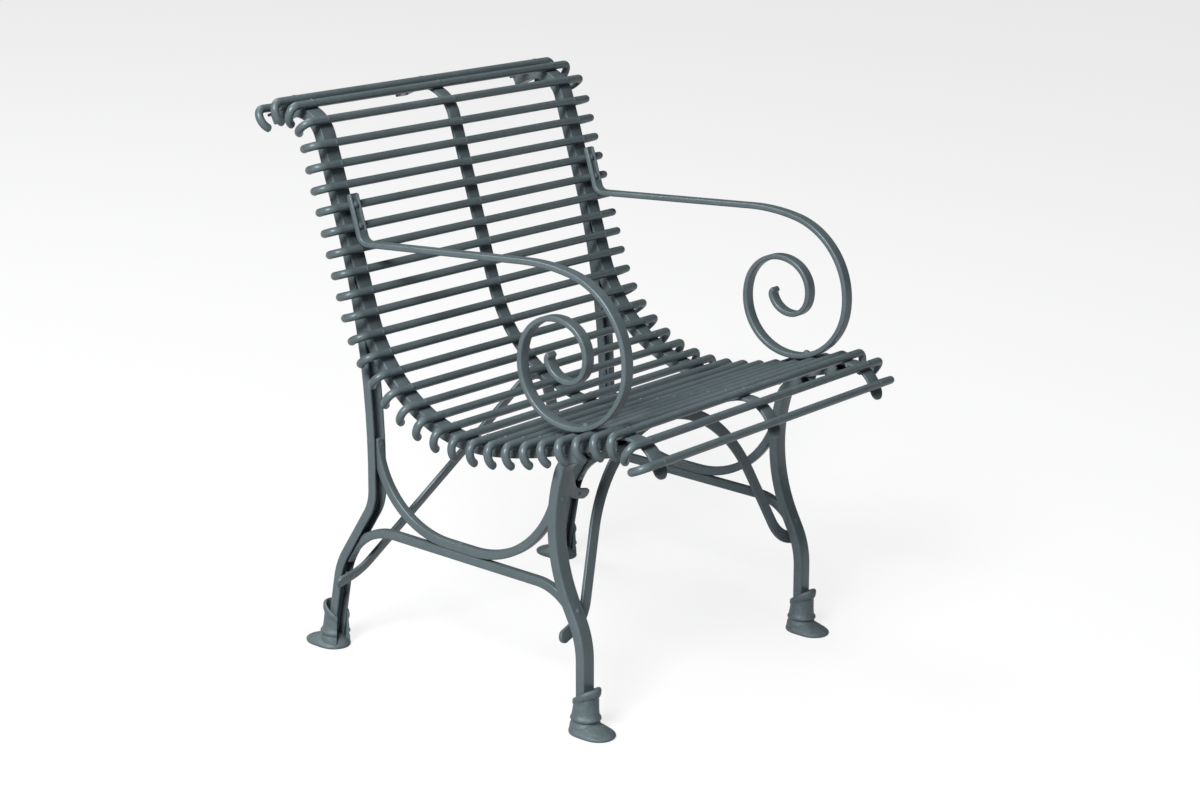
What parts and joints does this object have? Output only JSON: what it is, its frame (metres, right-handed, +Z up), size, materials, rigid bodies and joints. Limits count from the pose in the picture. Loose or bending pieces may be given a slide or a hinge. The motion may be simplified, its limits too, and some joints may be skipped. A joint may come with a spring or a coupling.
{
  "type": "garden armchair",
  "caption": "Garden armchair of round rods with hooked ends, riveted to three curved ribs on two riveted side frames, with flat scrolled arms, braces and cast feet.",
  "frame": {"origin": "on the ground, under the middle of the chair's bounding box", "axes": "+Z up, the sitter faces -Y, the back is towards +Y, and +X is to the left of someone who sits in the chair"},
  "size_m": [0.66, 0.7227, 0.8074],
  "materials": {
    "iron_paint": "satin paint in dark grey, lightly uneven as on forged bar"
  },
  "bodies": {
    "root": {"foot_front_left": "iron_paint", "foot_front_right": "iron_paint", "foot_back_left": "iron_paint", "foot_back_right": "iron_paint", "front_leg_left": "iron_paint", "front_leg_right": "iron_paint", "back_post_left": "iron_paint", "back_post_right": "iron_paint", "seat_rail_left": "iron_paint", "seat_rail_right": "iron_paint", "rib_left": "iron_paint", "rib_middle": "iron_paint", "rib_right": "iron_paint", "arch_left": "iron_paint", "arch_right": "iron_paint", "stretcher_left": "iron_paint", "stretcher_right": "iron_paint", "front_brace": "iron_paint", "back_brace": "iron_paint", "arm_left": "iron_paint", "arm_right": "iron_paint", "rod_rivets": "iron_paint", "frame_rivets": "iron_paint", "brace_rivets": "iron_paint", "arm_bolts": "iron_paint", "arm_nuts": "iron_paint", "rod_01": "iron_paint", "rod_02": "iron_paint", "rod_03": "iron_paint", "rod_04": "iron_paint", "rod_05": "iron_paint", "rod_06": "iron_paint", "rod_07": "iron_paint", "rod_08": "iron_paint", "rod_09": "iron_paint", "rod_10": "iron_paint", "rod_11": "iron_paint", "rod_12": "iron_paint", "rod_13": "iron_paint", "rod_14": "iron_paint", "rod_15": "iron_paint", "rod_16": "iron_paint", "rod_17": "iron_paint", "rod_18": "iron_paint", "rod_19": "iron_paint", "rod_20": "iron_paint", "rod_21": "iron_paint", "rod_22": "iron_paint", "rod_23": "iron_paint", "rod_24": "iron_paint", "rod_25": "iron_paint", "rod_26": "iron_paint", "rod_27": "iron_paint", "rod_28": "iron_paint", "rod_29": "iron_paint", "rod_30": "iron_paint", "rod_31": "iron_paint", "rod_32": "iron_paint"}
  },
  "joints": []
}
